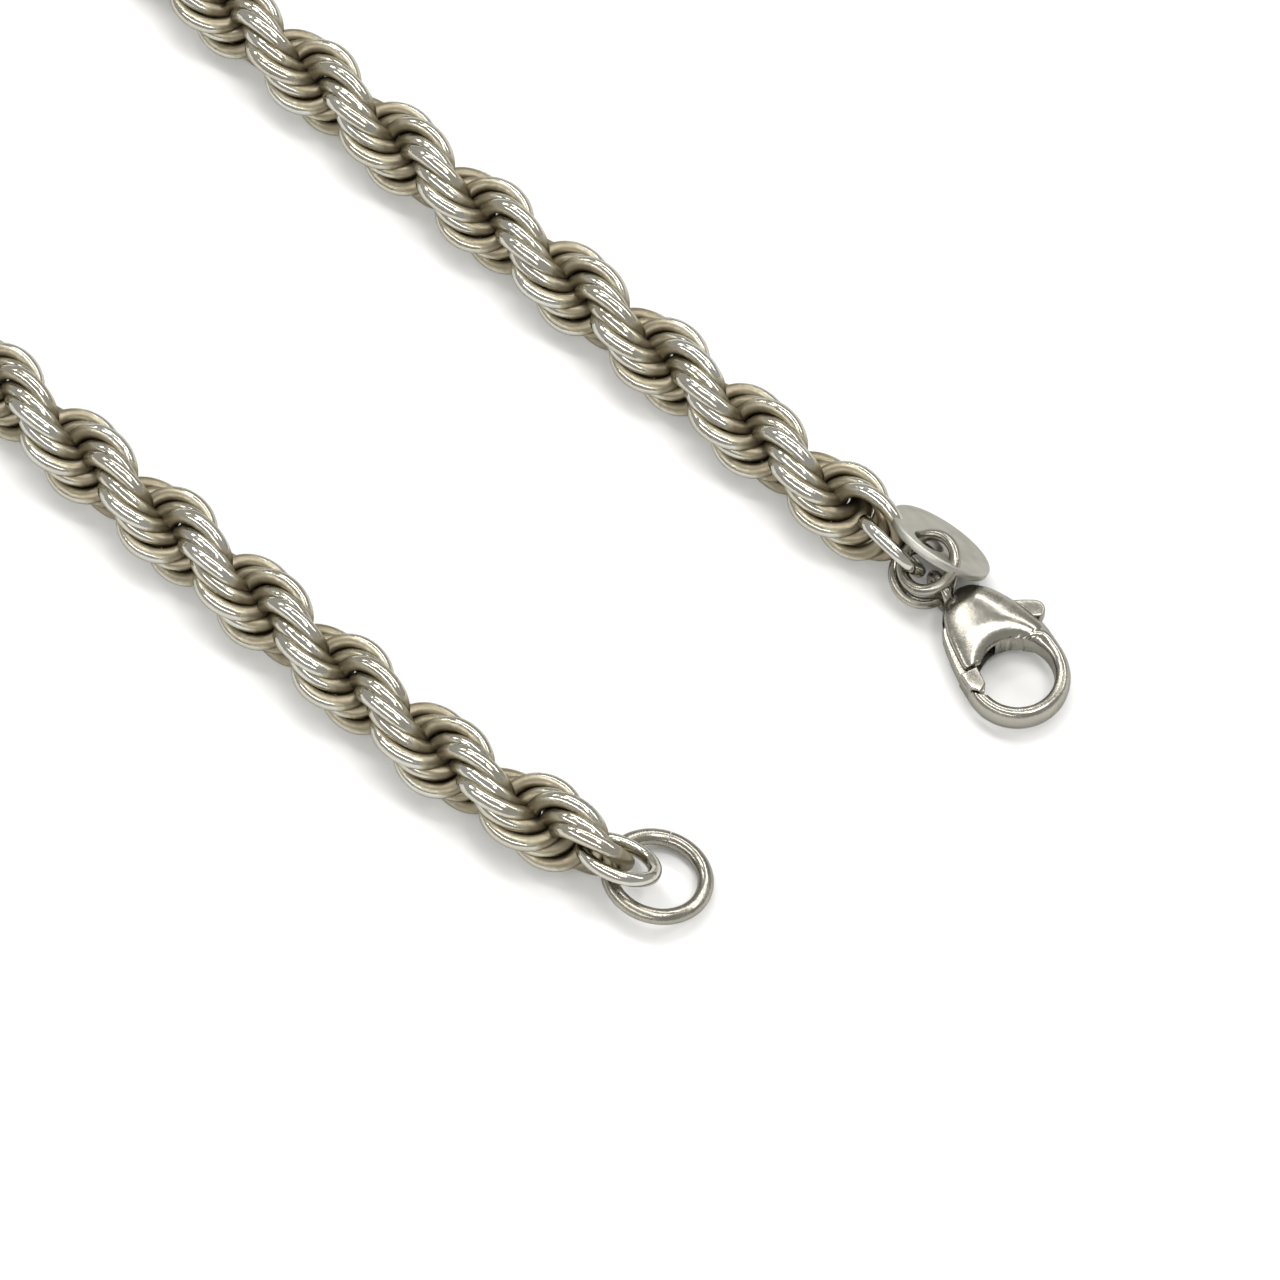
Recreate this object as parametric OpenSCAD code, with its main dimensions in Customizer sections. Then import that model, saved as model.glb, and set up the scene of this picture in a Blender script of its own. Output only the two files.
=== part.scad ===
// Rope chain necklace with a lobster clasp, lying unfastened on a flat surface.
// Millimetres. +Z is up and the necklace rests on z = 0.
// +Y runs along the loop, away from its two free ends. The end with the plain ring is at -X,
// and the end with the clasp is at +X.

/* [Loop] */
// Distance between the two strands where they lie side by side
strand_gap = 32; // [26:1:44]
// Straight run of the strand that ends in the plain ring
ring_run = 47.4; // [30:0.2:80]
// Straight run of the strand that ends in the clasp
clasp_run = 62.2; // [45:0.2:95]
// Radius at which the strands spread toward the far bend
flare_r = 70; // [50:1:100]
// Length of the stretch that turns inward at the ring end
ring_end_len = 18; // [12:1:24]

/* [Rope] */
// Outer width of the rope, which sets its wire, its links and their spacing
rope_w = 6; // [5.5:0.1:7.4]

/* [End ring] */
// Outside diameter of the plain ring that the hook closes round
end_ring_d = 7.5; // [6.5:0.1:9]
// Wire of the plain ring
end_ring_wire = 1.05; // [0.8:0.05:1.3]

/* [Jump rings] */
// Centreline radius of the two jump rings at the clasp end
jump_r = 1.95; // [1.9:0.05:2]
// Wire of the two jump rings
jump_wire = 0.8; // [0.6:0.05:0.85]

/* [Disc] */
// Diameter of the disc
disc_d = 7.7; // [6.5:0.1:9]
// Thickness of the disc
disc_t = 0.8; // [0.5:0.1:0.9]
// Diameter of the hole in the disc
disc_hole_d = 2.2; // [2:0.1:2.6]
// Metal between the hole and the disc's rim
disc_hole_edge = 0.75; // [0.6:0.05:1.2]

/* [Clasp] */
// Thickness of the clasp's domed tail
body_h = 3.2; // [2.8:0.1:4]
// Radius of the opening inside the hook
hook_open_r = 2.53; // [2.3:0.05:3]
// Width of the hook's metal, seen from above
hook_w = 1.05; // [0.9:0.05:1.3]
// Thickness of the hook
hook_h = 2; // [1.6:0.1:2.4]
// Thickness of the lever
lever_h = 1.1; // [0.8:0.05:1.3]
// Diameter of the lever's pin
pin_d = 0.8; // [0.6:0.05:1]
// Centreline radius of the eye at the clasp's tail
eye_r = 1.2; // [1.1:0.05:1.3]
// Wire of the eye
eye_wire = 0.76; // [0.6:0.02:0.8]

/* [Hidden] */
SILVER = [0.72, 0.70, 0.65];
DARK_SILVER = [0.60, 0.57, 0.50];
SECTIONS = 19;

// Clearances between pieces
ring_seam = 0.08;
pin_play = 0.05;
pin_fit = 0.01;
lever_play = 0.1;

// The weave: a rope of open rings closes only at one ratio of ring to wire, so the links
// follow the rope's width. Each link lies almost along the rope, half a turn and one
// sixteenth of a turn round from the link before it, one wire further on.
wire_d = rope_w * 0.157;
link_r = rope_w * 0.377;
link_offset = rope_w * 0.0442;
link_pitch = rope_w * 0.17;
link_gap = rope_w * 0.55;
link_tilt = 7.3;
link_gap_at = 261;
link_twist = 22.5;
rope_z = rope_w / 2;

// The route, from the ring end round to the clasp end: each run's length and its turn to
// the left in degrees. The two strands are straight, spread, and meet in one wide bend.
flare_turn = 45;
ring_end_turn = 16;
bend_r = (strand_gap / 2 + flare_r * (1 - cos(flare_turn))) / cos(flare_turn);
flare_len = flare_r * flare_turn * PI / 180;
bend_turn = 180 + 2 * flare_turn;
bend_len = bend_r * bend_turn * PI / 180;
LEN = 0;
TURN = 1;
route = [
    [ring_end_len, -ring_end_turn],
    [ring_run, 0],
    [flare_len, flare_turn],
    [bend_len, -bend_turn],
    [flare_len, flare_turn],
    [clasp_run, 0]
];
route_heading = 90 + ring_end_turn;

function run_vector(h, len, turn) =
    turn == 0
        ? len * [cos(h), sin(h)]
        : len / (turn * PI / 180) * [sin(h + turn) - sin(h), cos(h) - cos(h + turn)];
function run_length(i) = i == 0 ? 0 : run_length(i - 1) + route[i - 1][LEN];
function run_heading(i) = i == 0 ? route_heading : run_heading(i - 1) + route[i - 1][TURN];
function run_start(i) =
    i == 0
        ? [0, 0]
        : run_start(i - 1) + run_vector(run_heading(i - 1), route[i - 1][LEN], route[i - 1][TURN]);
function run_at(s, i = 0) =
    i == len(route) - 1 || s < run_length(i + 1) ? i : run_at(s, i + 1);

RUN_S = [for (i = [0 : len(route)]) run_length(i)];
RUN_H = [for (i = [0 : len(route)]) run_heading(i)];
RUN_P = [for (i = [0 : len(route)]) run_start(i)];

// Links along the route: an even count, so that both end links keep their poses
link_count = 2 * round(RUN_S[6] / link_pitch / 2);
link_step = RUN_S[6] / link_count;
phase_start = 30;
phase_end = 112;
phase_turn = phase_end - phase_start;
twist_step = (360 * round((link_count * link_twist - phase_turn) / 360) + phase_turn) / link_count;

// Clasp, in its own frame: the origin is the middle of the hook's opening, +x points from
// the eye to the hook, +y to the spine and the thumb tab, and z = 0 is its mid-plane.
clasp_heading = -109;
hook_r = hook_open_r + hook_w / 2;
pivot = [-5, -0.8];
slot_h = lever_h + 2 * lever_play;
pin_len = slot_h + 0.6 * (body_h - slot_h);
eye_at = [-8, -1.3];
shell_front = -1.75;

// What hangs on an end link is placed from the middle of the link's outermost wire.
end_out = link_r * [sin(ring_end_turn), -cos(ring_end_turn)];
eye_from_end = [0.14, -link_r - 2.29];
hook_from_eye = [
    -eye_at[0] * cos(clasp_heading) + eye_at[1] * sin(clasp_heading),
    -eye_at[0] * sin(clasp_heading) - eye_at[1] * cos(clasp_heading)
];

// The strands lie at equal distances from the Y axis, and the origin is midway between the
// outside of the far bend and the outside of the clasp's hook.
bend_top = RUN_P[3][1] + bend_r * (1 + sin(flare_turn)) + rope_w / 2;
hook_low = RUN_P[6][1] + eye_from_end[1] + hook_from_eye[1] - hook_r - hook_w / 2;
to_part = [-strand_gap / 2 - RUN_P[1][0], -(bend_top + hook_low) / 2];
ring_end = RUN_P[0] + to_part;
clasp_end = RUN_P[6] + to_part;

module wire_ring(r, wire, seam = 0, seam_at = 0) {
    cut = seam / r * 180 / PI;
    rotate([0, 0, seam_at + cut / 2])
        rotate_extrude(angle = 360 - cut, $fn = 48)
            translate([r, 0])
                circle(d = wire, $fn = 24);
}

// One link round the point p, turned to the angle phase round the rope's heading there
module link(p, heading, phase, gap) {
    translate([p[0], p[1], rope_z])
        rotate([90, 0, 90 + heading])
            rotate([0, 0, phase])
                translate([link_offset, 0, 0])
                    rotate([90 + link_tilt, 0, 0])
                        wire_ring(link_r, wire_d, gap, link_gap_at);
}

// Link number k of the rope
module rope_link(k) {
    s = k * link_step;
    i = run_at(s);
    turn = route[i][TURN] * (s - RUN_S[i]) / route[i][LEN];
    p = RUN_P[i] + run_vector(RUN_H[i], s - RUN_S[i], turn) + to_part;
    link(p, RUN_H[i] + turn, phase_start + k * (180 + twist_step), link_gap);
}

// The links of one section. The end links are pieces of their own, and the links next to
// them are left out to make room for the rings.
module rope_section(n) {
    first = 2;
    count = link_count - 2 * first + 1;
    from = first + round((n - 1) * count / SECTIONS);
    to = first + round(n * count / SECTIONS) - 1;
    color(SILVER)
        for (k = [from : to])
            rope_link(k);
}

// The end links are pulled a little outward and aside by what hangs on them.
module end_link_ring_side() {
    color(SILVER)
        link(ring_end + [0.14, 0.08], route_heading - 5, phase_start + 7, 0);
}

module end_link_clasp_side() {
    color(SILVER)
        link(clasp_end + [-0.07, -0.35], -90 - 7, phase_end + 3, link_gap);
}

module end_ring() {
    at = ring_end + end_out + [0.68, -0.2];
    color(SILVER)
        translate([at[0], at[1], rope_z - 1.23])
            rotate([19.5, -6, 0])
                wire_ring((end_ring_d - end_ring_wire) / 2, end_ring_wire, ring_seam, 20);
}

module jump_ring(at, tilt) {
    translate([clasp_end[0] + at[0], clasp_end[1] - link_r + at[1], rope_z + at[2]])
        rotate(tilt)
            wire_ring(jump_r, jump_wire);
}

module tag_ring() {
    color(SILVER)
        jump_ring([0.22, -1, 1.03], [-14.5, -24.5, 0]);
}

module clasp_ring() {
    color(SILVER)
        jump_ring([0.06, -0.7, -0.99], [13.2, -0.5, 0]);
}

// Half of the disc's outline, with its rim rounded over
module disc_profile() {
    edge = 0.25;
    square([disc_d / 2 - edge, disc_t]);
    translate([0, edge])
        square([disc_d / 2, disc_t - 2 * edge]);
    for (y = [edge, disc_t - edge])
        translate([disc_d / 2 - edge, y])
            circle(r = edge, $fn = 24);
}

module hallmark_disc() {
    hole_at = disc_d / 2 - disc_hole_edge - disc_hole_d / 2;
    color(DARK_SILVER)
        translate([clasp_end[0] + 2.95, clasp_end[1] - link_r + 0.14, rope_z + 0.06])
            rotate([22.6, 39.8, 0])
                difference() {
                    translate([0, 0, -disc_t / 2])
                        rotate_extrude($fn = 64)
                            disc_profile();
                    translate([-hole_at, 0, -disc_t])
                        cylinder(d = disc_hole_d, h = 2 * disc_t, $fn = 48);
                }
}

// Puts what is drawn in the clasp's own frame where the clasp lies
module clasp_place() {
    at = clasp_end + eye_from_end;
    translate([at[0], at[1], body_h / 2])
        rotate([0, 0, clasp_heading])
            translate([-eye_at[0], -eye_at[1], 0])
                children();
}

// The tail is a domed shell, cut square where the lever comes out. The spine leads over
// into the hook, which curls round the opening and ends in a slanted beak.
module clasp_tail() {
    difference() {
        hull()
            for (p = [[-5.8, 0.1], [-4.7, 0.9], [-2.6, 1.9], [-1.9, -1.3], [-5.2, -0.7]])
                translate(p)
                    sphere(r = body_h / 2, $fn = 32);
        translate([shell_front, -6, -body_h])
            cube([4, 4.5, 2 * body_h]);
    }
}

module clasp_hook() {
    beak_at = -101;
    tail_at = 165;
    rotate([0, 0, beak_at])
        rotate_extrude(angle = tail_at - beak_at, $fn = 64)
            translate([hook_r, 0]) {
                square([hook_w, hook_h - hook_w], center = true);
                for (y = [-1, 1] * (hook_h - hook_w) / 2)
                    translate([0, y])
                        circle(d = hook_w, $fn = 24);
            }
}

// Room for the lever: its arm, its tab and its hub, each with its travel
module lever_slot() {
    translate([0, 0, -slot_h / 2])
        linear_extrude(height = slot_h) {
            polygon([
                [-6.3, -0.4], [-6.3, -4.5], [-0.8, -4.5], [-0.8, 0.1], [-3.2, -0.35], [-4, 0.35]
            ]);
            polygon([
                [-3.7, -0.3], [-3.58, 1.75], [-2.9, 3.3], [-2.8, 4.8],
                [-6.9, 4.8], [-6.7, 2.05], [-6.45, 1], [-6.3, -0.45]
            ]);
            translate(pivot)
                circle(r = 1.4, $fn = 32);
        }
}

// The slanted end of the beak, with room for the lever's tip to pass
module beak_cut() {
    translate([0, 0, -hook_h])
        linear_extrude(height = 2 * hook_h)
            polygon([
                [-1.5, -2], [0.62, -2], [0.55, -2.75], [0.38, -3.02], [-0.6, -3.85], [-1.5, -4.2]
            ]);
}

module clasp_body() {
    color(SILVER)
        clasp_place()
            difference() {
                union() {
                    clasp_tail();
                    clasp_hook();
                    translate([eye_at[0], eye_at[1], 0])
                        rotate([90, 0, 0])
                            wire_ring(eye_r, eye_wire);
                }
                translate([0, 0, -body_h])
                    cylinder(r = hook_open_r, h = 2 * body_h, $fn = 64);
                lever_slot();
                beak_cut();
                translate([pivot[0], pivot[1], -pin_len / 2])
                    cylinder(d = pin_d + 2 * pin_fit, h = pin_len, $fn = 32);
            }
}

// The lever's outline, closed: hub, arm and thumb tab in one plate, and the thicker tip
module lever_plate() {
    translate(pivot)
        circle(r = 1.25, $fn = 32);
    polygon([
        [-5.9, -1.65], [-5.2, -2.75], [-3.6, -3.2], [-1.9, -3.43], [-0.4, -3.42],
        [0.22, -2.92], [-0.22, -2.3], [-1.8, -2.12], [-3.4, -1.4], [-4.2, 0.2]
    ]);
    polygon([
        [-5.6, 0.3], [-5.05, 2.4], [-4.55, 3.5], [-4.2, 4], [-3.85, 4.15],
        [-3.45, 4.1], [-3.15, 3.8], [-3.1, 3.4], [-3.75, 1.8], [-3.9, -0.3]
    ]);
}

module lever_tip() {
    polygon([
        [shell_front + 0.15, -2.15], [-0.22, -2.3], [0.22, -2.92], [-0.4, -3.42],
        [shell_front + 0.15, -3.43]
    ]);
}

module clasp_lever() {
    color(SILVER)
        clasp_place()
            difference() {
                union() {
                    translate([0, 0, -lever_h / 2])
                        linear_extrude(height = lever_h)
                            lever_plate();
                    translate([0, 0, -hook_h / 2])
                        linear_extrude(height = hook_h)
                            lever_tip();
                }
                translate([pivot[0], pivot[1], -lever_h])
                    cylinder(d = pin_d + 2 * pin_play, h = 2 * lever_h, $fn = 32);
            }
}

module lever_pin() {
    color(DARK_SILVER)
        clasp_place()
            translate([pivot[0], pivot[1], -pin_len / 2])
                cylinder(d = pin_d, h = pin_len, $fn = 32);
}

rope_section(1);  // rope_section_01
rope_section(2);  // rope_section_02
rope_section(3);  // rope_section_03
rope_section(4);  // rope_section_04
rope_section(5);  // rope_section_05
rope_section(6);  // rope_section_06
rope_section(7);  // rope_section_07
rope_section(8);  // rope_section_08
rope_section(9);  // rope_section_09
rope_section(10);  // rope_section_10
rope_section(11);  // rope_section_11
rope_section(12);  // rope_section_12
rope_section(13);  // rope_section_13
rope_section(14);  // rope_section_14
rope_section(15);  // rope_section_15
rope_section(16);  // rope_section_16
rope_section(17);  // rope_section_17
rope_section(18);  // rope_section_18
rope_section(19);  // rope_section_19
end_link_ring_side();
end_link_clasp_side();
end_ring();
tag_ring();
clasp_ring();
hallmark_disc();
clasp_body();
clasp_lever();
lever_pin();
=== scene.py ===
"""A rope chain necklace lying unfastened on a pale surface.

The rope's links, the rings, the disc and the clasp are modelled here in millimetres, in the
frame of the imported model, and scaled to metres when their meshes are made.
"""
import math

import bmesh
import bpy
import numpy as np
from mathutils import Matrix, Vector


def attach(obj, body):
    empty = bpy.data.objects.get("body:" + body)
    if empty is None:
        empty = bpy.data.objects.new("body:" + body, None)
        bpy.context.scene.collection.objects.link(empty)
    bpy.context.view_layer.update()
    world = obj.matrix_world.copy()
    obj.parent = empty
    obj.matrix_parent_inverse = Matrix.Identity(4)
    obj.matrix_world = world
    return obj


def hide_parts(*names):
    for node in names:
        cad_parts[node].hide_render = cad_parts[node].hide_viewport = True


MM = 0.001
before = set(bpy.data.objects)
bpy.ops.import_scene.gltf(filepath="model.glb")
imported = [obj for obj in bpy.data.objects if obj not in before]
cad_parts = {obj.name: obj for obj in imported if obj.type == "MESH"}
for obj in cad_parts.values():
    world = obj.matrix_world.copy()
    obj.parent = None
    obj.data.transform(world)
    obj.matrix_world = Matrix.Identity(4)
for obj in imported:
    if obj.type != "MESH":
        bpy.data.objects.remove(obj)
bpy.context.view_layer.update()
scene = bpy.context.scene


# Camera: the photograph's angle, from far enough away for its flat perspective

CAMERA_TARGET = Vector((0.44, -85.12, 0)) * MM
CAMERA_HEADING = math.radians(43)
CAMERA_ELEVATION = math.radians(62)
CAMERA_DISTANCE = 0.5
CAMERA_LENS = 210.9
CAMERA_SENSOR = 36

look = Vector((
    math.cos(CAMERA_HEADING) * math.cos(CAMERA_ELEVATION),
    math.sin(CAMERA_HEADING) * math.cos(CAMERA_ELEVATION),
    -math.sin(CAMERA_ELEVATION),
))
camera = bpy.data.objects.new("camera", bpy.data.cameras.new("camera"))
camera.data.lens = CAMERA_LENS
camera.data.sensor_width = CAMERA_SENSOR
camera.data.clip_start = 0.01
camera.data.clip_end = 20
camera.location = CAMERA_TARGET - CAMERA_DISTANCE * look
camera.rotation_mode = "QUATERNION"
camera.rotation_quaternion = look.to_track_quat("-Z", "Y")
scene.collection.objects.link(camera)
scene.camera = camera


# Meshes from arrays

def link_mesh(name, mesh):
    obj = bpy.data.objects.new(name, mesh)
    scene.collection.objects.link(obj)
    return obj


def add_object(name, points, faces, smooth=True, transform=None):
    """An object from points in millimetres and lists of corner numbers."""
    points = np.asarray(points, float)
    if transform is not None:
        turn, shift = transform
        points = points @ turn.T + shift
    mesh = bpy.data.meshes.new(name)
    mesh.from_pydata((points * MM).tolist(), [], [list(map(int, face)) for face in faces])
    mesh.polygons.foreach_set("use_smooth", [smooth] * len(mesh.polygons))
    mesh.update()
    return link_mesh(name, mesh)


def add_quads(name, points, quads):
    """A large smooth mesh of quads from points in millimetres."""
    mesh = bpy.data.meshes.new(name)
    mesh.vertices.add(len(points))
    mesh.vertices.foreach_set("co", (np.asarray(points) * MM).ravel())
    mesh.loops.add(4 * len(quads))
    mesh.loops.foreach_set("vertex_index", np.asarray(quads, np.int32).ravel())
    mesh.polygons.add(len(quads))
    mesh.polygons.foreach_set("loop_start", np.arange(0, 4 * len(quads), 4))
    mesh.polygons.foreach_set("use_smooth", [True] * len(quads))
    mesh.update(calc_edges=True)
    return link_mesh(name, mesh)


def set_values(obj, name, values):
    """One number for each vertex, for the materials to read."""
    layer = obj.data.attributes.new(name, "FLOAT", "POINT")
    layer.data.foreach_set("value", np.asarray(values, np.float32))


def grid_quads(rows, columns, wrap_rows):
    """Quads of a grid whose columns close on themselves, and whose rows may."""
    r = np.arange(rows if wrap_rows else rows - 1)
    c = np.arange(columns)
    r, c = (a.ravel() for a in np.meshgrid(r, c, indexing="ij"))
    r2, c2 = (r + 1) % rows, (c + 1) % columns
    return np.stack([r * columns + c, r2 * columns + c, r2 * columns + c2, r * columns + c2], 1)


def turn_about(axis, degrees):
    return np.array(Matrix.Rotation(math.radians(degrees), 3, axis))


def leaning(about_x, about_y):
    """A turn about X and then about Y, in degrees."""
    return turn_about("Y", about_y) @ turn_about("X", about_x)


# Materials

def node_material(name):
    material = bpy.data.materials.new(name)
    material.use_nodes = True
    tree = material.node_tree
    return material, tree, tree.nodes["Principled BSDF"]


def math_node(tree, operation, a, b):
    n = tree.nodes.new("ShaderNodeMath")
    n.operation = operation
    for socket, value in zip(n.inputs, (a, b)):
        if isinstance(value, (int, float)):
            socket.default_value = value
        else:
            tree.links.new(value, socket)
    return n.outputs[0]


def plus(tree, a, b):
    return math_node(tree, "ADD", a, b)


def minus(tree, a, b):
    return math_node(tree, "SUBTRACT", a, b)


def times(tree, a, b):
    return math_node(tree, "MULTIPLY", a, b)


def map_range(tree, value, low, high, to_low=0.0, to_high=1.0):
    """A smooth step between two numbers as the value goes from low to high."""
    n = tree.nodes.new("ShaderNodeMapRange")
    n.interpolation_type = "SMOOTHSTEP"
    tree.links.new(value, n.inputs["Value"])
    for key, number in zip(("From Min", "From Max", "To Min", "To Max"), (low, high, to_low, to_high)):
        n.inputs[key].default_value = number
    return n.outputs["Result"]


def noise(tree, scale, detail, stretch=(1, 1, 1)):
    """Noise in the object's own space, with its scale in features per metre."""
    coords = tree.nodes.new("ShaderNodeTexCoord")
    mapping = tree.nodes.new("ShaderNodeMapping")
    mapping.inputs["Scale"].default_value = stretch
    n = tree.nodes.new("ShaderNodeTexNoise")
    n.inputs["Scale"].default_value = scale
    n.inputs["Detail"].default_value = detail
    tree.links.new(coords.outputs["Object"], mapping.inputs["Vector"])
    tree.links.new(mapping.outputs["Vector"], n.inputs["Vector"])
    return n.outputs["Fac"]


def blend_colours(tree, factor, a, b):
    """A colour between two others, each of them a tuple or a node's output."""
    n = tree.nodes.new("ShaderNodeMix")
    n.data_type = "RGBA"
    for socket, value in ((n.inputs[0], factor), (n.inputs[6], a), (n.inputs[7], b)):
        if isinstance(value, tuple):
            socket.default_value = (*value, 1)
        else:
            tree.links.new(value, socket)
    return n.outputs[2]


def attribute(tree, name):
    n = tree.nodes.new("ShaderNodeAttribute")
    n.attribute_name = name
    return n.outputs["Fac"]


def bump(tree, shader, height, distance, strength):
    n = tree.nodes.new("ShaderNodeBump")
    n.inputs["Strength"].default_value = strength
    n.inputs["Distance"].default_value = distance
    tree.links.new(height, n.inputs["Height"])
    tree.links.new(n.outputs["Normal"], shader.inputs["Normal"])


def make_metal(tree, shader, colour, roughness):
    """Bare metal in a colour and a roughness that other nodes work out."""
    tree.links.new(colour, shader.inputs["Base Color"])
    tree.links.new(roughness, shader.inputs["Roughness"])
    shader.inputs["Metallic"].default_value = 1.0
    shader.inputs["Specular Tint"].default_value = EDGE_TINT


# The rope's silver, from its polished outside to the tarnish and painted shade of its core
CLEAN = (0.53, 0.52, 0.47)
WARM = (0.47, 0.44, 0.36)
OLIVE = (0.41, 0.375, 0.275)
BROWN = (0.27, 0.235, 0.165)
RUST = (0.22, 0.16, 0.11)
# The other pieces' silver
RING_TONE = (0.3, 0.285, 0.245)
CLASP_TONE = (0.34, 0.325, 0.285)
MATTE_TONE = (0.47, 0.46, 0.415)
MATTE_CLOUD = (0.37, 0.355, 0.31)
MATTE_RIM = (0.44, 0.43, 0.39)
# What every metal tends to where it is seen at a grazing angle
EDGE_TINT = (0.55, 0.55, 0.53, 1)
# How the scratches are stretched: not at all, or along the piece's height
ALL_WAYS = (1, 1, 1)
UPWARD = (1, 1, 0.15)


def rope_silver():
    """Polished silver with yellow-brown tarnish and painted shade toward the rope's core and in its
    grooves.
    """
    material, tree, shader = node_material("rope_silver")
    patches = noise(tree, scale=260, detail=3)
    grains = noise(tree, scale=2600, detail=4)
    mottle = times(tree, minus(tree, grains, 0.5), 0.35)
    # The grooves and core go olive and brown: real tarnish, and painted shade for the shade between the
    # wires
    uneven_tarnish_and_shade = plus(tree, attribute(tree, "tarnish_and_shade"), mottle)
    olive = map_range(tree, uneven_tarnish_and_shade, low=0.42, high=0.72)
    brown = map_range(tree, uneven_tarnish_and_shade, low=0.66, high=0.92)
    uneven_tint = plus(tree, patches, times(tree, attribute(tree, "tint"), 0.35))
    warm = map_range(tree, uneven_tint, low=0.45, high=0.85, to_high=0.8)
    patches_near_clasp = times(tree, attribute(tree, "near_clasp"), patches)
    rusty = map_range(tree, patches_near_clasp, low=0.45, high=0.8)

    colour = blend_colours(tree, warm, CLEAN, WARM)
    colour = blend_colours(tree, olive, colour, OLIVE)
    colour = blend_colours(tree, brown, colour, blend_colours(tree, rusty, BROWN, RUST))
    polish = map_range(tree, grains, low=0.3, high=0.7, to_low=0.08, to_high=0.17)
    make_metal(tree, shader, colour, plus(tree, polish, times(tree, olive, 0.3)))
    dents = times(tree, noise(tree, scale=520, detail=2), 2.5)
    uneven = plus(tree, noise(tree, scale=1500, detail=3), dents)
    bump(tree, shader, uneven, distance=0.00006, strength=0.45)
    return material


def polished_silver(name, tone, scratch):
    """Polished silver wire or casting with fine scratches and a little tarnish."""
    material, tree, shader = node_material(name)
    patches = noise(tree, scale=420, detail=4)
    scratches = times(tree, noise(tree, scale=5200, detail=2, stretch=scratch), 0.4)
    warm = map_range(tree, patches, low=0.45, high=0.8, to_high=0.65)
    colour = blend_colours(tree, warm, tone, WARM)
    worn = plus(tree, patches, scratches)
    roughness = map_range(tree, worn, low=0.4, high=1.0, to_low=0.15, to_high=0.34)
    make_metal(tree, shader, colour, roughness)
    uneven = plus(tree, noise(tree, scale=900, detail=3), scratches)
    bump(tree, shader, uneven, distance=0.00004, strength=0.4)
    return material


def matte_silver():
    """Sandblasted silver, smoother and of its own colour at its edges."""
    material, tree, shader = node_material("matte_silver")
    rim = attribute(tree, "rim")
    clouds = noise(tree, scale=500, detail=4)
    cloudy = map_range(tree, clouds, low=0.4, high=0.75, to_high=0.7)
    colour = blend_colours(tree, cloudy, MATTE_TONE, MATTE_CLOUD)
    colour = blend_colours(tree, times(tree, rim, 0.5), colour, MATTE_RIM)
    face = map_range(tree, clouds, low=0.3, high=0.7, to_low=0.42, to_high=0.56)
    make_metal(tree, shader, colour, minus(tree, face, times(tree, rim, 0.1)))
    bump(tree, shader, noise(tree, scale=9000, detail=2), distance=0.00004, strength=0.6)
    return material


ROPE = rope_silver()
RING = polished_silver("ring_silver", RING_TONE, ALL_WAYS)
CLASP = polished_silver("clasp_silver", CLASP_TONE, UPWARD)
MATTE = matte_silver()


def dress(obj, material):
    obj.data.materials.clear()
    obj.data.materials.append(material)


def place_piece(obj, node, material, body="chain"):
    """Dress a piece, hide the imported node it stands for, and hang it on its body's empty."""
    dress(obj, material)
    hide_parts(node)
    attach(obj, body)


# The rope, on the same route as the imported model

ROPE_W = 6.0
ROPE_Z = ROPE_W / 2
LINK_R = ROPE_W * 0.37
LINK_STRETCH = 1.15
LINK_OFFSET = ROPE_W * 0.0442
LINK_TILT = 2
LINK_STEP = ROPE_W * 0.17
LINK_TWIST = 22.5
LINK_GAP = 3.3
LINK_GAP_AT = 261
WIRE_THICK = 1.04
WIRE_WIDE = 1.1
WIRE_FLAT = 0.92
SECTIONS = 19
# The rope's first link: the end link and its neighbour come before it
FIRST_LINK = 2
TWIST_JITTER = 0.5
ROPE_SEED = 7
# How far from its clasp end the rope is rusty
RUST_REACH = 45

RING_END_RUN = 18.0
RING_RUN = 47.4
CLASP_RUN = 62.2
STRAND_GAP = 32
FLARE_R = 70
FLARE_TURN = 45
FLARE = math.radians(FLARE_TURN)
RING_END_TURN = 16
BEND_R = (STRAND_GAP / 2 + FLARE_R * (1 - math.cos(FLARE))) / math.cos(FLARE)
BEND_TURN = 180 + 2 * FLARE_TURN
# Each run's length and its turn to the left in degrees, from the ring end to the clasp end
ROUTE = [
    (RING_END_RUN, -RING_END_TURN),
    (RING_RUN, 0),
    (FLARE * FLARE_R, FLARE_TURN),
    (math.radians(BEND_TURN) * BEND_R, -BEND_TURN),
    (FLARE * FLARE_R, FLARE_TURN),
    (CLASP_RUN, 0),
]
ROUTE_LENGTH = sum(length for length, turn in ROUTE)
RING_END = np.array([-13.503, -96.3185])
CLASP_END = np.array([16.0, -93.3515])
RING_END_HEADING = 90 + RING_END_TURN
CLASP_END_HEADING = -90
LINK_COUNT = 2 * round(ROUTE_LENGTH / LINK_STEP / 2)
# The links' angle round the rope at each end, and the twist from link to link between them
PHASE_START, PHASE_END = 30, 112
PHASE_TURN = PHASE_END - PHASE_START
TWIST_STEP = (360 * round((LINK_COUNT * LINK_TWIST - PHASE_TURN) / 360) + PHASE_TURN) / LINK_COUNT

# Tarnish and painted shade grow over CORE_DEPTH from the rope's outside, and where the wire's
# surface faces outward less than SIDE_FROM, a cosine. Each of the two has its share in the whole
CORE_DEPTH, CORE_SHARE = 1.7, 0.75
SIDE_FROM, SIDE_OVER, SIDE_SHARE = 0.85, 0.4, 0.55

# The end links' wire as a share of the rope's, their own tarnish and painted shade, their tint,
# and how far each is shifted in plan and turned from the end of the route
END_WIRE = 0.85
END_TARNISH_AND_SHADE = 0.45
END_TINT = 0.4
RING_LINK_SHIFT, RING_LINK_TURN, RING_LINK_PHASE = [0.14, 0.08], -5, 7
CLASP_LINK_SHIFT, CLASP_LINK_TURN, CLASP_LINK_PHASE = [-0.07, -0.35], -7, 3


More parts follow.
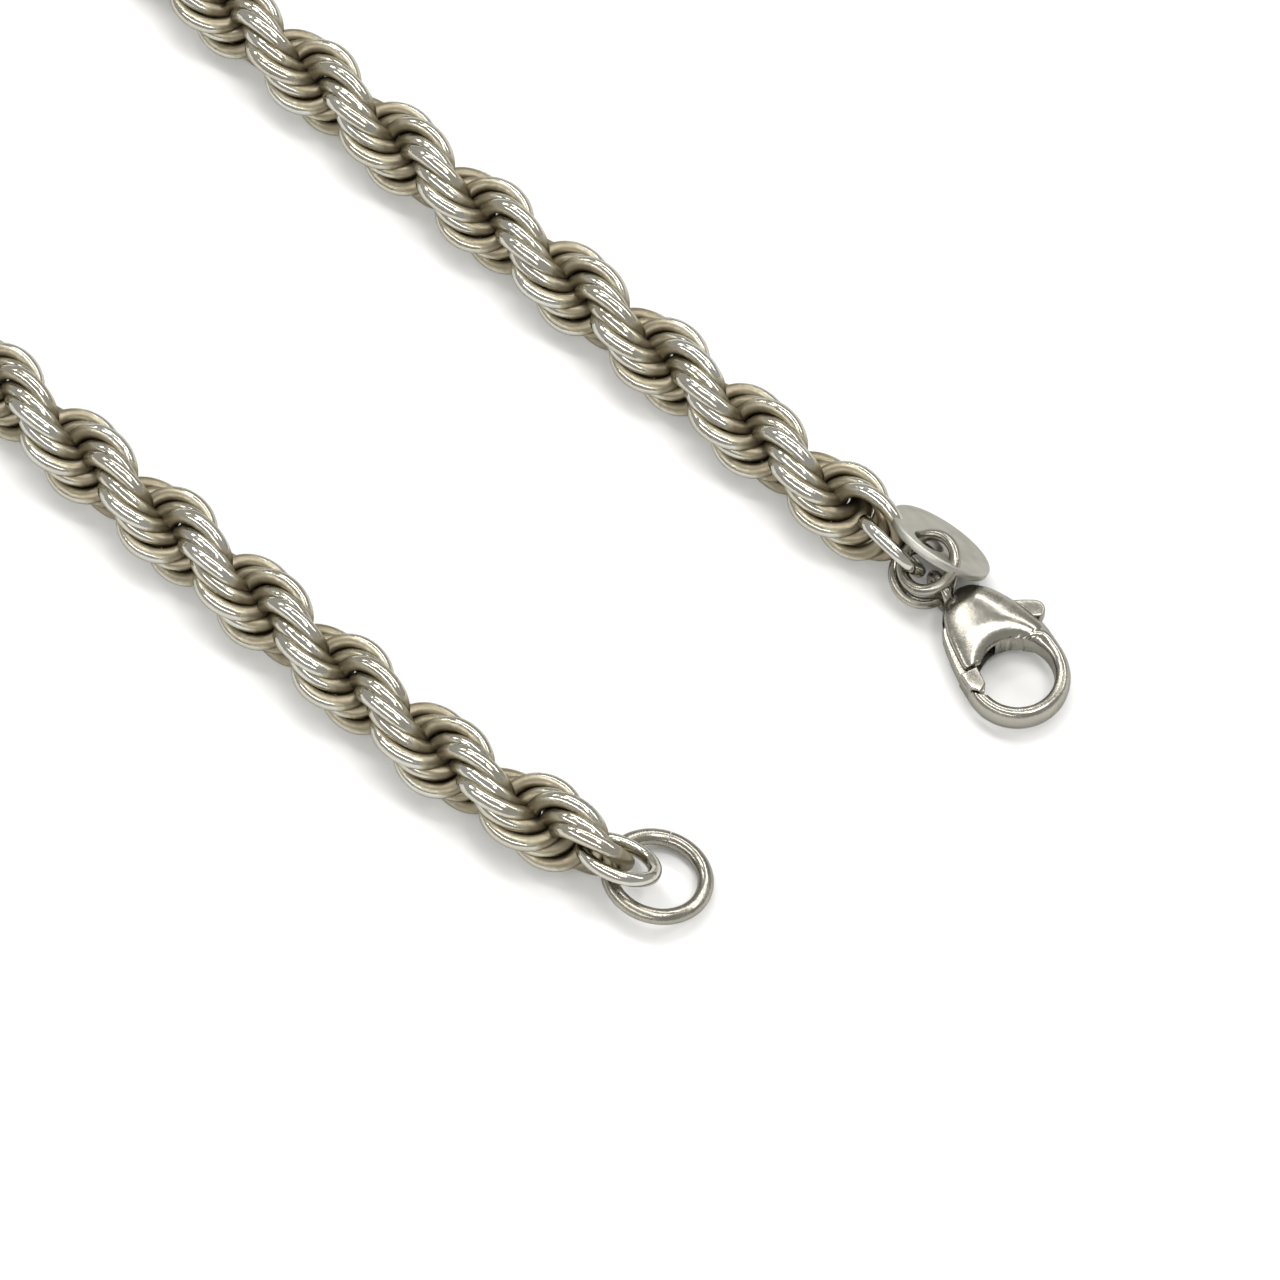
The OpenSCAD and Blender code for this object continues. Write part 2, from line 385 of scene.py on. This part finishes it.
def run_vector(heading, length, turn):
    """How far a run goes in plan, from its heading at the start, in degrees."""
    h, t = math.radians(heading), math.radians(turn)
    if turn == 0:
        return length * np.array([math.cos(h), math.sin(h)])
    return length / t * np.array([math.sin(h + t) - math.sin(h), math.cos(h) - math.cos(h + t)])


def route_at(distance):
    """(point in plan, heading) at a distance along the route."""
    point, heading, left = RING_END, RING_END_HEADING, distance
    for i, (length, turn) in enumerate(ROUTE):
        if left < length or i == len(ROUTE) - 1:
            part = turn * left / length
            return point + run_vector(heading, left, part), heading + part
        point = point + run_vector(heading, length, turn)
        heading += turn
        left -= length


def link_frame(point, heading, phase):
    """(turn, shift) of a link round a point of the rope, turned to an angle round it."""
    place = turn_about("Z", 90 + heading) @ turn_about("X", 90) @ turn_about("Z", phase)
    return place, np.array([point[0], point[1], ROPE_Z])


def wire_arc(radius, thick, wide, gap=0.0, gap_at=0.0, around=48, across=14,
             stretch=1.0, flat=1.0, blunt=0.5):
    """Points, normals and faces of a ring of wire in the XY plane, with capped ends if it is open.

    The wire is thick along the ring's radius and wide across its plane. stretch makes the ring
    an oval, longer along Y, flat below 1 squares the wire's section, and blunt is how far its
    ends are rounded, in the wire's thickness."""
    u = np.linspace(0, 2 * np.pi, around, endpoint=False)
    size, ahead = np.ones(around), np.zeros(around)
    if gap:
        half = gap / radius / 2
        first, last = math.radians(gap_at) + half, math.radians(gap_at) + 2 * np.pi - half
        cap = np.radians([90, 60, 30])
        u = np.concatenate([[first] * 3, np.linspace(first, last, around), [last] * 3])
        rounded = 1 - 2 * blunt * (1 - np.cos(cap))
        size = np.concatenate([rounded, size, rounded[::-1]])
        ahead = np.concatenate([-np.sin(cap), ahead, np.sin(cap[::-1])]) * thick * blunt
    path = radius * np.stack([np.cos(u), stretch * np.sin(u), 0 * u], 1)
    out = np.stack([stretch * np.cos(u), np.sin(u), 0 * u], 1)
    out /= np.linalg.norm(out, axis=1, keepdims=True)
    along = np.stack([-out[:, 1], out[:, 0], 0 * u], 1)
    up = np.array([0, 0, 1.0])
    v = (np.arange(across) + 0.5) * 2 * np.pi / across
    c, s = (np.sign(w) * np.abs(w) ** flat for w in (np.cos(v), np.sin(v)))
    normal = np.cos(v)[None, :, None] * out[:, None] + np.sin(v)[None, :, None] * up
    section = (thick * c[None, :, None] * out[:, None] + wide * s[None, :, None] * up) / 2
    points = path[:, None] + ahead[:, None, None] * along[:, None] + size[:, None, None] * section
    faces = grid_quads(len(u), across, gap == 0)
    if gap:
        rest = (len(u) - 1) * across
        faces = faces.tolist() + [list(range(across)), list(range(rest + across - 1, rest - 1, -1))]
    return points.reshape(-1, 3), normal.reshape(-1, 3), faces


def posed_link(gap=0.0, around=48, across=14, wire=1.0):
    """A link as it lies round the rope at phase 0: points, faces and each point's tarnish and shade.

    This is 0 on the rope's outside and 1 in its grooves and core: it grows toward the
    rope's axis and where the wire's surface faces sideways or inward. It is tarnish, and painted shade in
    the grooves."""
    points, normals, faces = wire_arc(LINK_R, WIRE_THICK * wire, WIRE_WIDE * wire, gap, LINK_GAP_AT,
                                      around, across, LINK_STRETCH, WIRE_FLAT)
    tilt = turn_about("X", 90 + LINK_TILT)
    points = points @ tilt.T + [LINK_OFFSET, 0, 0]
    normals = normals @ tilt.T
    radius = np.hypot(points[:, 0], points[:, 1])
    facing = (normals[:, 0] * points[:, 0] + normals[:, 1] * points[:, 1]) / np.maximum(radius, 0.1)
    # Darker toward the core and on faces turned away from the outside: tarnish, and painted shade in the
    # grooves
    inward = np.clip((ROPE_W / 2 - radius) / CORE_DEPTH, 0, 1)
    sideways = np.clip((SIDE_FROM - facing) / SIDE_OVER, 0, 1)
    return points, faces, np.clip(CORE_SHARE * inward + SIDE_SHARE * sideways, 0, 1)


def build_rope():
    """The rope's links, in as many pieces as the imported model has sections."""
    points, quads, tarnish_and_shade = posed_link()
    rng = np.random.default_rng(ROPE_SEED)
    jitter = rng.normal(0, TWIST_JITTER, LINK_COUNT + 1)
    tints = rng.random(LINK_COUNT + 1)
    count = LINK_COUNT - 2 * FIRST_LINK + 1
    for n in range(SECTIONS):
        start, end = (FIRST_LINK + round(i * count / SECTIONS) for i in (n, n + 1))
        parts = []
        for k in range(start, end):
            place, heading = route_at(k * ROUTE_LENGTH / LINK_COUNT)
            turn, shift = link_frame(place, heading, PHASE_START + k * (180 + TWIST_STEP) + jitter[k])
            parts.append(points @ turn.T + shift)
        all_points = np.concatenate(parts)
        all_quads = np.concatenate([quads + i * len(points) for i in range(len(parts))])
        obj = add_quads("links_%02d" % (n + 1), all_points, all_quads)
        # Each link's tarnish and painted shade in its grooves and core, for the material
        set_values(obj, "tarnish_and_shade", np.tile(tarnish_and_shade, len(parts)))
        set_values(obj, "tint", np.repeat(tints[start:end], len(points)))
        away = np.hypot(all_points[:, 0] - CLASP_END[0], all_points[:, 1] - CLASP_END[1])
        set_values(obj, "near_clasp", np.clip(1 - away / RUST_REACH, 0, 1))
        place_piece(obj, "rope_section_%02d" % (n + 1), ROPE)


def build_end_link(name, node, point, heading, phase, gap, near_clasp):
    points, faces, tarnish_and_shade = posed_link(gap, around=96, across=20, wire=END_WIRE)
    obj = add_object(name, points, faces, transform=link_frame(point, heading, phase))
    # The end links get less of the tarnish and painted shade
    set_values(obj, "tarnish_and_shade", tarnish_and_shade * END_TARNISH_AND_SHADE)
    set_values(obj, "tint", np.full(len(points), END_TINT))
    set_values(obj, "near_clasp", np.full(len(points), near_clasp))
    place_piece(obj, node, ROPE)


build_rope()
build_end_link("last_link_ring_side", "end_link_ring_side", RING_END + RING_LINK_SHIFT,
               RING_END_HEADING + RING_LINK_TURN, PHASE_START + RING_LINK_PHASE,
               gap=0, near_clasp=0.0)
build_end_link("last_link_clasp_side", "end_link_clasp_side", CLASP_END + CLASP_LINK_SHIFT,
               CLASP_END_HEADING + CLASP_LINK_TURN, PHASE_END + CLASP_LINK_PHASE,
               gap=LINK_GAP, near_clasp=1.0)


# Rings

END_RING_R = 3.225
END_RING_WIRE = 1.08
END_RING_SEAM = 0.1
END_RING_SEAM_AT = 28
END_RING_BLUNT = 0.03
# Each ring's centre, and how far it leans about X and about Y
END_RING_CENTRE, END_RING_LEAN = (-12.161, -98.408, 1.45), (0.8, 14.3)
TAG_RING_CENTRE, TAG_RING_LEAN = (16.22, -96.6135, 4.03), (-14.5, -24.5)
CLASP_RING_CENTRE, CLASP_RING_LEAN = (16.06, -96.3135, 2.01), (13.2, -0.5)
JUMP_R = 1.95
JUMP_WIRE = 0.8


def torus(radius, wire, around=96, across=24):
    """Points and faces of a closed ring of round wire."""
    points, _, faces = wire_arc(radius, wire, wire, around=around, across=across)
    return points, faces


def place_ring(name, node, points, faces, centre, lean):
    obj = add_object(name, points, faces, transform=(leaning(*lean), np.array(centre)))
    place_piece(obj, node, RING)


def build_rings():
    """The end ring with its seam, and the two closed jump rings."""
    points, _, faces = wire_arc(END_RING_R, END_RING_WIRE, END_RING_WIRE, END_RING_SEAM,
                                END_RING_SEAM_AT, around=144, across=28, blunt=END_RING_BLUNT)
    place_ring("large_ring", "end_ring", points, faces, END_RING_CENTRE, END_RING_LEAN)
    points, faces = torus(JUMP_R, JUMP_WIRE)
    place_ring("jump_ring_disc", "tag_ring", points, faces, TAG_RING_CENTRE, TAG_RING_LEAN)
    place_ring("jump_ring_clasp", "clasp_ring", points, faces, CLASP_RING_CENTRE, CLASP_RING_LEAN)


build_rings()


# The disc: a closed grid round the edges of its hole and its rim

DISC_R = 3.85
DISC_HALF = 0.32
DISC_HOLE_R = 1.1
DISC_HOLE_AWAY = 2.0
DISC_CENTRE = (18.23, -95.839, 3.09)
DISC_NORMAL = np.array([0.743, -0.02, 0.669])
DISC_TO_HOLE = np.array([-0.768, 0, 0.64])
HOLE_ROUND = 0.1
RIM_ROUND = 0.2


def disc_rows(face_rows):
    """Circles up the hole's wall, out over the face and down round the rim, then back below.

    Each is how near its centre is to the hole's, its radius, its height, and whether it is on an edge."""
    quarter = [(1 - math.cos(a), 1 - math.sin(a)) for a in np.radians(np.linspace(0, 90, 5))]
    rows = [(1, DISC_HOLE_R + HOLE_ROUND * c, DISC_HALF - HOLE_ROUND * s, 1) for c, s in quarter]
    for t in np.linspace(0, 1, face_rows + 2)[1:-1]:
        radius = (1 - t) * (DISC_HOLE_R + HOLE_ROUND) + t * (DISC_R - RIM_ROUND)
        rows.append((1 - t, radius, DISC_HALF, 0))
    rows += [(0, DISC_R - RIM_ROUND * c, DISC_HALF - RIM_ROUND * s, 1) for c, s in quarter[::-1]]
    return rows + [(shift, radius, -z, edge) for shift, radius, z, edge in rows[::-1]]


def build_disc(columns=96, face_rows=9):
    rows = disc_rows(face_rows)
    u = np.linspace(0, 2 * np.pi, columns, endpoint=False)
    points = [(DISC_HOLE_AWAY * shift + radius * math.cos(a), radius * math.sin(a), z)
              for shift, radius, z, _ in rows for a in u]
    normal = DISC_NORMAL / np.linalg.norm(DISC_NORMAL)
    side = DISC_TO_HOLE - normal * (normal @ DISC_TO_HOLE)
    side /= np.linalg.norm(side)
    turn = np.stack([side, np.cross(normal, side), normal], 1)
    obj = add_object("disc", points, grid_quads(len(rows), columns, True)[:, ::-1],
                     transform=(turn, np.array(DISC_CENTRE)))
    set_values(obj, "rim", np.repeat([row[-1] for row in rows], columns))
    place_piece(obj, "hallmark_disc", MATTE)


build_disc()


# The clasp, drawn flat about the middle of its opening: the tail is at -X, the lever at -Y

EYE_R, EYE_WIRE = 1.2, 0.76
EYE_AT = np.array([-8, -1.3, 0])
EYE_PLACE = np.array([16.14, -97.9035, 1.6])
CLASP_TURN = turn_about("Z", -109)
CLASP_PLACE = EYE_PLACE - CLASP_TURN @ EYE_AT
OPEN_R = 2.53
HOOK_OUT_R = 3.58
HOOK_HALF = 1.0
# The hook's angles on the opening's circle: where it goes on from the bow, its tip and the step
HOOK_FROM, HOOK_TIP, HOOK_STEP = 76, -100, 4
# Share of the half height that stands upright on the inner side, and how far from the
# opening the dome starts to come down to it
WALL = 0.5
EASE = 1.5
# How square the sections are across and upward
PLAN_POWER, DOME_POWER = 0.92, 0.9
# Rows between two sections, and how near the opening's circle a row is put right on it
SECTION_PARTS = 5
NEAR_CIRCLE = 0.04
SHARP_ANGLE = 35

# The tail's sections, from its end: the inner side's x and y, the outer side's x and y, and
# half the height
TAIL = [
    (-7.40, -0.55, -7.38, 0.35, 0.60),
    (-7.30, -0.95, -7.22, 0.80, 0.95),
    (-7.05, -1.40, -6.95, 1.20, 1.18),
    (-6.55, -1.95, -6.40, 1.75, 1.38),
    (-5.90, -2.30, -5.70, 2.20, 1.52),
    (-5.00, -2.62, -4.90, 2.65, 1.60),
    (-4.00, -2.83, -4.00, 3.05, 1.62),
    (-3.10, -2.93, -3.20, 3.35, 1.60),
    (-2.40, -2.97, -2.60, 3.52, 1.55),
    (-1.90, -2.93, -2.22, 3.58, 1.50),
    (-1.76, -2.70, -2.12, 3.60, 1.50),
    (-1.73, -1.90, -2.02, 3.60, 1.49),
    (-1.71, -1.00, -1.93, 3.59, 1.47),
    (-1.69, -0.10, -1.82, 3.59, 1.43),
    (-1.66, 0.80, -1.66, 3.59, 1.37),
    (-1.62, 1.50, -1.42, 3.59, 1.29),
]
# The bow's sections on the opening's circle: the inner and the outer side's angle, the outer
# side's radius, half the height, and how far the section still belongs to the dome
BOW = [
    (125, 106.5, 3.74, 1.20, 0.75),
    (116, 102, 3.68, 1.14, 0.52),
    (107, 96, 3.63, 1.09, 0.3),
    (98, 90, 3.60, 1.05, 0.14),
    (90, 85, 3.585, 1.02, 0.04),
    (82, 80, 3.58, 1.00, 0),
]

# The slot for the lever, on its arm's and on its tab's side of the pin, and what is cut off
# the hook and the tail for its tip
PIVOT = np.array([-5.0, -0.8])
SLOT = 1.3
SLOT_ROUND_R = 1.4
SLOT_BELOW = [(-6.3, -0.4), (-6.3, -4.5), (-0.8, -4.5), (-0.8, 0.1), (-3.2, -0.35), (-4, 0.35)]
SLOT_ABOVE = [
    (-3.7, -0.3), (-3.58, 1.75), (-2.9, 3.3), (-2.8, 4.8),
    (-6.9, 4.8), (-6.7, 2.05), (-6.45, 1), (-6.3, -0.45),
]
BEAK = [(-1.5, -2), (0.62, -2), (0.55, -2.75), (0.38, -3.02), (-0.6, -3.85), (-1.5, -4.2)]
# Half the height of a cut that goes right through, and how far the opening's cut stays
# inside the hook's own wall
THROUGH = 3
CUT_INSIDE = 0.006

# The lever: an arm beside the tail, a hub on the pin and a thumb tab, with a thick square tip
ARM = [
    (-5.9, -1.65), (-5.2, -2.75), (-3.6, -3.2), (-1.9, -3.43), (-0.4, -3.42), (0.22, -2.92),
    (-0.22, -2.3), (-1.8, -2.12), (-3.4, -1.4),
]
TAB = [
    (-3.9, -0.3), (-3.75, 1.8), (-3.1, 3.4), (-3.15, 3.8), (-3.45, 4.1), (-3.85, 4.15),
    (-4.2, 4.0), (-4.55, 3.5), (-5.05, 2.4), (-5.6, 0.3),
]
TIP = [(-1.6, -2.15), (-0.22, -2.3), (0.22, -2.92), (-0.4, -3.42), (-1.6, -3.43)]
HUB_R = 1.25
LEVER_H = 1.1
TIP_H = 2.0
ARM_EDGE, TAB_EDGE, TIP_EDGE = 0.12, 0.16, 0.15
# Keeps the rounding of a sharp corner from reaching too far in
MITRE_LEAST = 0.5


def smooth_rows(rows, parts):
    """Rows of numbers with others put between them on a smooth curve through them."""
    rows = np.array(rows, float)
    ends = np.concatenate([[2 * rows[0] - rows[1]], rows, [2 * rows[-1] - rows[-2]]])
    done = []
    for a, b, c, d in zip(ends[:-3], ends[1:-2], ends[2:-1], ends[3:]):
        for t in np.arange(parts) / parts:
            done.append(0.5 * (2 * b + (c - a) * t + (2 * a - 5 * b + 4 * c - d) * t * t
                               + (3 * b - a - 3 * c + d) * t ** 3))
    return np.array(done + [rows[-1]])


def smooth_loop(outline, parts):
    """A closed outline with points put between its own on a smooth curve."""
    return smooth_rows(outline + outline[:1], parts)[:-1]


def on_circle(radius, degrees):
    return radius * math.cos(math.radians(degrees)), radius * math.sin(math.radians(degrees))


def circle(centre, radius, sides=48):
    points = (on_circle(radius, 360 * i / sides) for i in range(sides))
    return [(centre[0] + x, centre[1] + y) for x, y in points]


def clasp_sections():
    """Rows of both sides' x and y, half the height, and the share of dome."""
    rows = [(*row, 1) for row in TAIL]
    for inner, outer, out_r, half_height, dome in BOW:
        rows.append((*on_circle(OPEN_R, inner), *on_circle(out_r, outer), half_height, dome))
    rows = smooth_rows(rows, SECTION_PARTS)
    away = np.hypot(rows[:, 0], rows[:, 1])
    in_bow = away > OPEN_R - NEAR_CIRCLE
    in_bow[:SECTION_PARTS * len(TAIL)] = False
    rows[in_bow, :2] *= OPEN_R / away[in_bow, None]
    hook = [(*on_circle(OPEN_R, a), *on_circle(HOOK_OUT_R, a), HOOK_HALF, 0)
            for a in range(HOOK_FROM, HOOK_TIP - 1, -HOOK_STEP)]
    return np.concatenate([rows, hook])


def build_casting(across=48):
    """The tail, bow and hook as one skin over their sections, upright inside and domed outside."""
    v = (np.arange(across) + 0.5) * 2 * np.pi / across
    c, s = np.cos(v), np.sin(v)
    wall = np.where(c < 0, WALL, 0)
    rows = clasp_sections()
    points = []
    for in_x, in_y, out_x, out_y, half_height, dome in rows:
        middle = np.array([in_x + out_x, in_y + out_y]) / 2
        half = np.array([out_x - in_x, out_y - in_y]) / 2
        plan = middle + np.outer(np.sign(c) * np.abs(c) ** PLAN_POWER, half)
        z = half_height * np.sign(s) * (wall + (1 - wall) * np.abs(s) ** DOME_POWER)
        near = np.clip(1 - (np.hypot(*plan.T) - OPEN_R) / EASE, 0, 1)
        z *= 1 - dome * (1 - WALL) * (1 - np.sqrt(1 - near ** 2)) * np.sqrt(np.abs(s))
        points += np.column_stack([plan, z]).tolist()
    last = (len(rows) - 1) * across
    faces = grid_quads(len(rows), across, False).tolist()
    faces += [list(range(across))[::-1], list(range(last, last + across))]
    return add_object("clasp", points, faces)


def prism(outline, half_height):
    """An upright prism over an outline."""
    n = len(outline)
    points = [(x, y, z) for z in (-half_height, half_height) for x, y in outline]
    faces = [list(range(n))[::-1], list(range(n, 2 * n))]
    faces += [[i, (i + 1) % n, n + (i + 1) % n, n + i] for i in range(n)]
    return add_object("cutter", points, faces, smooth=False)


def slab(outline, height, edge):
    """An upright slab over an outline, with its edges rounded off."""
    flat = np.array(outline, float)
    area = np.sum(flat[:, 0] * np.roll(flat[:, 1], -1) - np.roll(flat[:, 0], -1) * flat[:, 1])
    if area < 0:
        flat = flat[::-1]
    ahead = np.roll(flat, -1, 0) - flat
    ahead /= np.linalg.norm(ahead, axis=1, keepdims=True)
    out = np.stack([ahead[:, 1], -ahead[:, 0]], 1)
    mitre = out + np.roll(out, 1, 0)
    mitre /= np.maximum((mitre * out).sum(1, keepdims=True), MITRE_LEAST)
    rounding = [(math.cos(a), math.sin(a)) for a in np.radians([90, 60, 30, 0])]
    rows = [(c, -height / 2 + edge * (1 - s)) for c, s in rounding]
    rows += [(c, height / 2 - edge * (1 - s)) for c, s in rounding[::-1]]
    points = [(*(p - m * edge * (1 - c)), z) for c, z in rows for p, m in zip(flat, mitre)]
    n = len(flat)
    faces = grid_quads(len(rows), n, False).tolist()
    faces += [list(range(n))[::-1], list(range((len(rows) - 1) * n, len(rows) * n))]
    return add_object("slab", points, faces)


def outward(obj):
    mesh = bmesh.new()
    mesh.from_mesh(obj.data)
    bmesh.ops.recalc_face_normals(mesh, faces=mesh.faces)
    mesh.to_mesh(obj.data)
    mesh.free()


def combine(obj, other, operation):
    """The first object with the second cut from it or joined to it; the second is used up."""
    outward(obj)
    outward(other)
    modifier = obj.modifiers.new("combine", "BOOLEAN")
    modifier.operation = operation
    modifier.solver = "EXACT"
    modifier.object = other
    bpy.context.view_layer.update()
    made = bpy.data.meshes.new_from_object(obj.evaluated_get(bpy.context.evaluated_depsgraph_get()))
    obj.modifiers.clear()
    obj.data = made
    bpy.data.objects.remove(other)


def finish_clasp_piece(obj, node, body):
    """Put a piece that was drawn flat in its place, with smooth faces between sharp edges."""
    obj.data.transform(Matrix.LocRotScale(Vector(CLASP_PLACE) * MM, Matrix(CLASP_TURN), None))
    obj.data.polygons.foreach_set("use_smooth", [True] * len(obj.data.polygons))
    obj.data.set_sharp_from_angle(angle=math.radians(SHARP_ANGLE))
    place_piece(obj, node, CLASP, body)


def build_clasp_body():
    clasp = build_casting()
    cuts = [
        (circle((0, 0), OPEN_R - CUT_INSIDE, sides=96), THROUGH),
        (SLOT_BELOW, SLOT / 2),
        (SLOT_ABOVE, SLOT / 2),
        (circle(PIVOT, SLOT_ROUND_R), SLOT / 2),
        (BEAK, THROUGH),
    ]
    for outline, half_height in cuts:
        combine(clasp, prism(outline, half_height), "DIFFERENCE")
    points, faces = torus(EYE_R, EYE_WIRE, around=72)
    eye = add_object("eye", points, faces, transform=(turn_about("X", 90), EYE_AT))
    combine(clasp, eye, "UNION")
    finish_clasp_piece(clasp, "clasp_body", "chain")


def build_lever():
    lever = slab(smooth_loop(ARM, 3), LEVER_H, ARM_EDGE)
    lever.name = "lever"
    combine(lever, slab(circle(PIVOT, HUB_R), LEVER_H, ARM_EDGE), "UNION")
    combine(lever, slab(smooth_loop(TAB, 4), LEVER_H, TAB_EDGE), "UNION")
    combine(lever, slab(TIP, TIP_H, TIP_EDGE), "UNION")
    finish_clasp_piece(lever, "clasp_lever", "lever")


build_clasp_body()
build_lever()
dress(bpy.data.objects["lever_pin"], CLASP)


# Stage and light, in metres

FLOOR_SIZE = 6
FLOOR_COLOUR = (0.89, 0.89, 0.885, 1)
FLOOR_ROUGHNESS = 0.9
WALLS = (0.55, 0.545, 0.53)
CEILING = (0.52, 0.515, 0.50)
# The height of the gradient between them, as the upward part of a direction
WALLS_TOP, CEILING_FROM = 0.05, 0.75
# Narrow lights above the strands, at these angles from upright toward +Y
STRIP_ANGLES = (-20, 5, 30, 52)
STRIP_X = 0.12
STRIP_HEIGHT = 0.7
STRIP_AIM = (0, -0.05, 0)
STRIP_SIZE = (0.34, 0.12)
STRIP_POWER = 1.1
# One long light on each side of the strands
SIDE_X = 0.42
SIDE_Y = -0.05
SIDE_HEIGHT = 0.4
SIDE_AIM = (0, -0.08, 0)
SIDE_SIZE = (0.9, 0.07)
SIDE_POWER = 1.5


def area_light(name, position, target, size, power):
    light = bpy.data.lights.new(name, "AREA")
    light.shape = "RECTANGLE"
    light.size, light.size_y = size
    light.energy = power
    obj = bpy.data.objects.new(name, light)
    obj.location = position
    obj.rotation_mode = "QUATERNION"
    obj.rotation_quaternion = (Vector(target) - Vector(position)).to_track_quat("-Z", "Y")
    obj.visible_camera = False
    scene.collection.objects.link(obj)


def lay_floor():
    bpy.ops.mesh.primitive_plane_add(size=FLOOR_SIZE, location=(0, 0, 0))
    floor = bpy.context.object
    floor.name = "floor"
    material, _, shader = node_material("floor")
    shader.inputs["Base Color"].default_value = FLOOR_COLOUR
    shader.inputs["Roughness"].default_value = FLOOR_ROUGHNESS
    dress(floor, material)


def hang_lights():
    for i, degrees in enumerate(STRIP_ANGLES):
        y = STRIP_AIM[1] + STRIP_HEIGHT * math.tan(math.radians(degrees))
        area_light("strip_%d" % i, (STRIP_X, y, STRIP_HEIGHT), STRIP_AIM, STRIP_SIZE, STRIP_POWER)
    for side in (-1, 1):
        place = (SIDE_X * side, SIDE_Y, SIDE_HEIGHT)
        area_light("side_strip_%d" % side, place, SIDE_AIM, SIDE_SIZE, SIDE_POWER)


def paint_world():
    """A plain room round the scene, a little darker toward its ceiling."""
    world = bpy.data.worlds.new("world")
    scene.world = world
    world.use_nodes = True
    tree = world.node_tree
    background = tree.nodes["Background"]
    coords = tree.nodes.new("ShaderNodeTexCoord")
    split = tree.nodes.new("ShaderNodeSeparateXYZ")
    tree.links.new(coords.outputs["Generated"], split.inputs["Vector"])
    height = map_range(tree, split.outputs["Z"], WALLS_TOP, CEILING_FROM)
    tree.links.new(blend_colours(tree, height, WALLS, CEILING), background.inputs["Color"])
    background.inputs["Strength"].default_value = 1.0


lay_floor()
hang_lights()
paint_world()
scene.view_settings.view_transform = "Standard"
